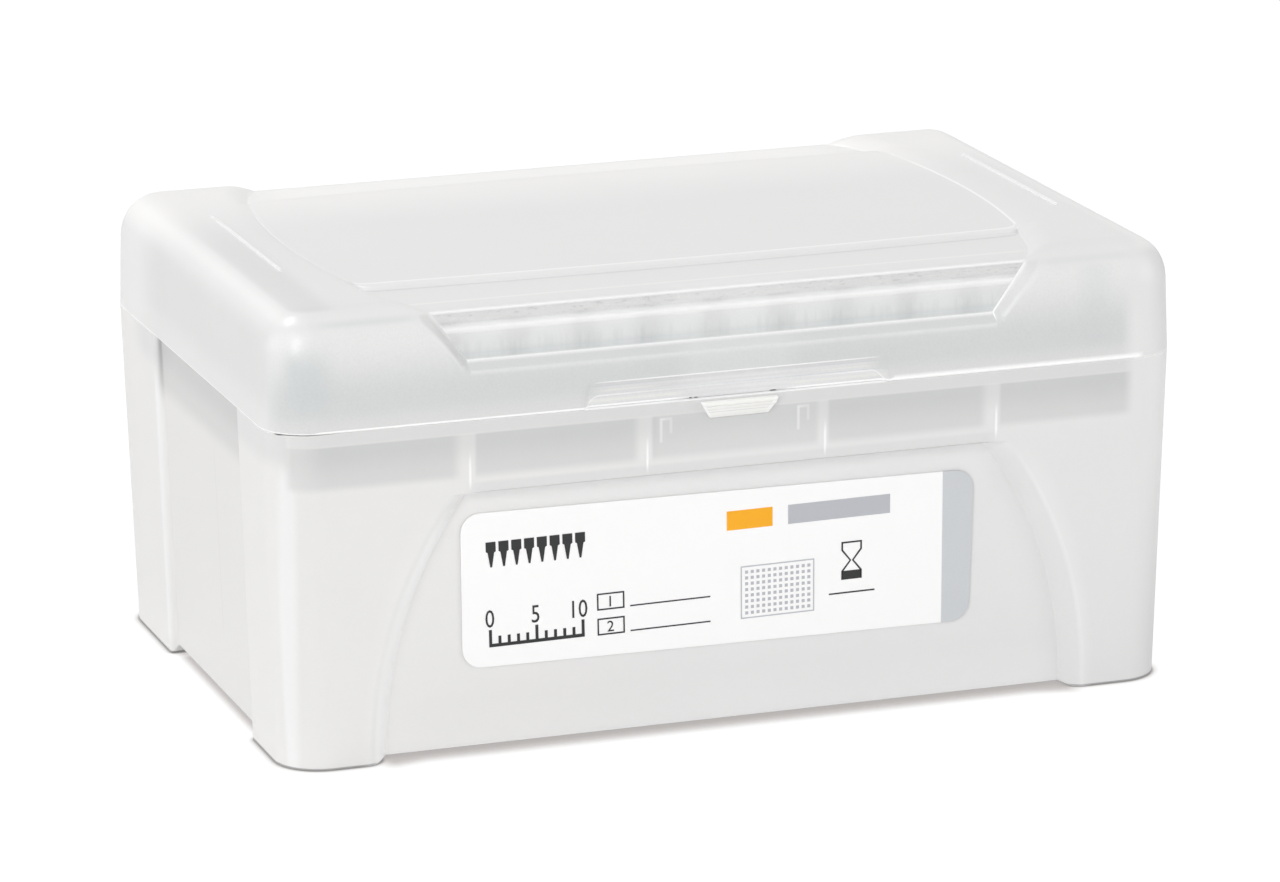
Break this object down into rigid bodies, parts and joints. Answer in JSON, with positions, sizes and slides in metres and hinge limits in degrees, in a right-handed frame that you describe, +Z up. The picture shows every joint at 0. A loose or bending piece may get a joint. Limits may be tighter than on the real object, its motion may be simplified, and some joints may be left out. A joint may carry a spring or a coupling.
{
  "type": "box of pipette tips",
  "caption": "Closed box of small pipette tips in translucent plastic, with a clear window, a bare front label and a lid that opens on rear hinges.",
  "frame": {"origin": "on the plane of the feet, under the middle of the overall outline with hinges and thumb ledge", "axes": "+X to the right along the length, +Y to the rear where the hinges are, +Z up"},
  "size_m": [0.1252, 0.0876, 0.0611],
  "materials": {
    "milky": "satin, milky and translucent",
    "frosted": "frosted and translucent, clear in the window",
    "tray": "satin",
    "tip": "translucent, smooth",
    "label": "matt coated"
  },
  "bodies": {
    "body": {"base": "milky", "tip_tray": "tray", "front_label": "label", "tip_H01": "tip", "tip_H02": "tip", "tip_H03": "tip", "tip_H04": "tip", "tip_H05": "tip", "tip_H06": "tip", "tip_H07": "tip", "tip_H08": "tip", "tip_H09": "tip", "tip_H10": "tip", "tip_H11": "tip", "tip_H12": "tip", "tip_G01": "tip", "tip_G02": "tip", "tip_G03": "tip", "tip_G04": "tip", "tip_G05": "tip", "tip_G06": "tip", "tip_G07": "tip", "tip_G08": "tip", "tip_G09": "tip", "tip_G10": "tip", "tip_G11": "tip", "tip_G12": "tip", "tip_F01": "tip", "tip_F02": "tip", "tip_F03": "tip", "tip_F04": "tip", "tip_F05": "tip", "tip_F06": "tip", "tip_F07": "tip", "tip_F08": "tip", "tip_F09": "tip", "tip_F10": "tip", "tip_F11": "tip", "tip_F12": "tip", "tip_E01": "tip", "tip_E02": "tip", "tip_E03": "tip", "tip_E04": "tip", "tip_E05": "tip", "tip_E06": "tip", "tip_E07": "tip", "tip_E08": "tip", "tip_E09": "tip", "tip_E10": "tip", "tip_E11": "tip", "tip_E12": "tip"},
    "lid": {"lid": "frosted"}
  },
  "joints": [
    {"name": "lid_hinge", "type": "hinge", "parent": "body", "child": "lid", "pos_m": [0, 0.04145, 0.04495], "axis": [-1, 0, 0], "range_deg": [0, 110]}
  ]
}
